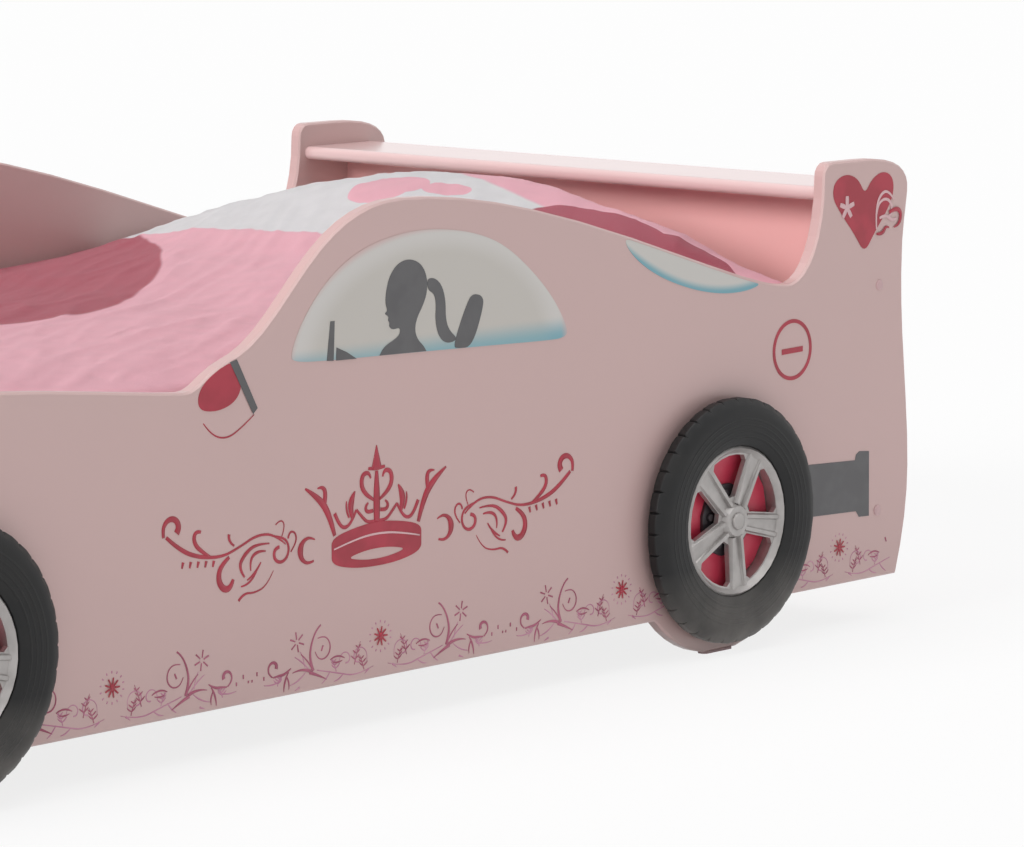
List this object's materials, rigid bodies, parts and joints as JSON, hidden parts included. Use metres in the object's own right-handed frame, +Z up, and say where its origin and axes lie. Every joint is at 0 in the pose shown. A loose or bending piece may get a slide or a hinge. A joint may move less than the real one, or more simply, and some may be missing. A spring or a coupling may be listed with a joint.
{
  "type": "car bed for children",
  "caption": "Low child's bed whose side panels are cut and printed as a small car, with moulded wheels, a spoiler shelf at the head, slats, mattress and bedding.",
  "frame": {"origin": "on the floor under the middle of the bed's overall length and width", "axes": "+X along the bed towards the headboard, +Y across it towards the far side, +Z up"},
  "size_m": [2.225, 1.026, 0.613],
  "materials": {
    "panel_pink": "satin pale pink foil on board",
    "board_pink": "satin pink foil on board",
    "gloss_pink": "glossy pale pink foil on board",
    "beech": "plain beech",
    "steel": "zinc-plated",
    "cap_plastic": "glossy",
    "glide_plastic": "matte",
    "pine": "planed, bare",
    "webbing": "woven tape",
    "tyre_black": "matte moulded",
    "rim_silver": "silver metallised",
    "crimson_plastic": "glossy moulded",
    "dark_plastic": "satin moulded",
    "mattress_cloth": "knitted cover",
    "pillow_cloth": "cotton",
    "duvet_cloth": "printed cotton"
  },
  "bodies": {
    "frame": {"backing_discs": "crimson_plastic", "barrel_nuts": "steel", "beam_hangers": "steel", "bolt_caps": "cap_plastic", "bonnet_board": "board_pink", "bonnet_cleats": "pine", "bumper_board": "board_pink", "centre_beam": "pine", "centre_leg_foot": "pine", "centre_leg_head": "pine", "footboard": "board_pink", "frame_bolts": "steel", "headboard": "board_pink", "hub_caps": "rim_silver", "hub_carriers": "dark_plastic", "leg_glides": "glide_plastic", "nose_brackets": "steel", "panel_glides": "glide_plastic", "rail_screws": "steel", "rims": "rim_silver", "side_panel_far": "panel_pink", "side_panel_near": "panel_pink", "slat_01": "pine", "slat_02": "pine", "slat_03": "pine", "slat_04": "pine", "slat_05": "pine", "slat_06": "pine", "slat_07": "pine", "slat_08": "pine", "slat_09": "pine", "slat_10": "pine", "slat_11": "pine", "slat_12": "pine", "slat_rail_far": "pine", "slat_rail_near": "pine", "slat_tapes": "webbing", "spoiler_board": "gloss_pink", "spoiler_dowels": "beech", "tyres": "tyre_black", "wheel_screws": "steel"},
    "mattress": {"mattress": "mattress_cloth"},
    "pillow": {"pillow": "pillow_cloth"},
    "duvet": {"duvet": "duvet_cloth"}
  },
  "joints": [
    {"name": "mattress_lift", "type": "slide", "parent": "frame", "child": "mattress", "axis": [0, 0, 1], "range_m": [0, 0.145]},
    {"name": "pillow_lift", "type": "slide", "parent": "mattress", "child": "pillow", "axis": [0, 0, 1], "range_m": [0, 0.25]},
    {"name": "duvet_lift", "type": "slide", "parent": "pillow", "child": "duvet", "axis": [0, 0, 1], "range_m": [0, 0.25]}
  ]
}
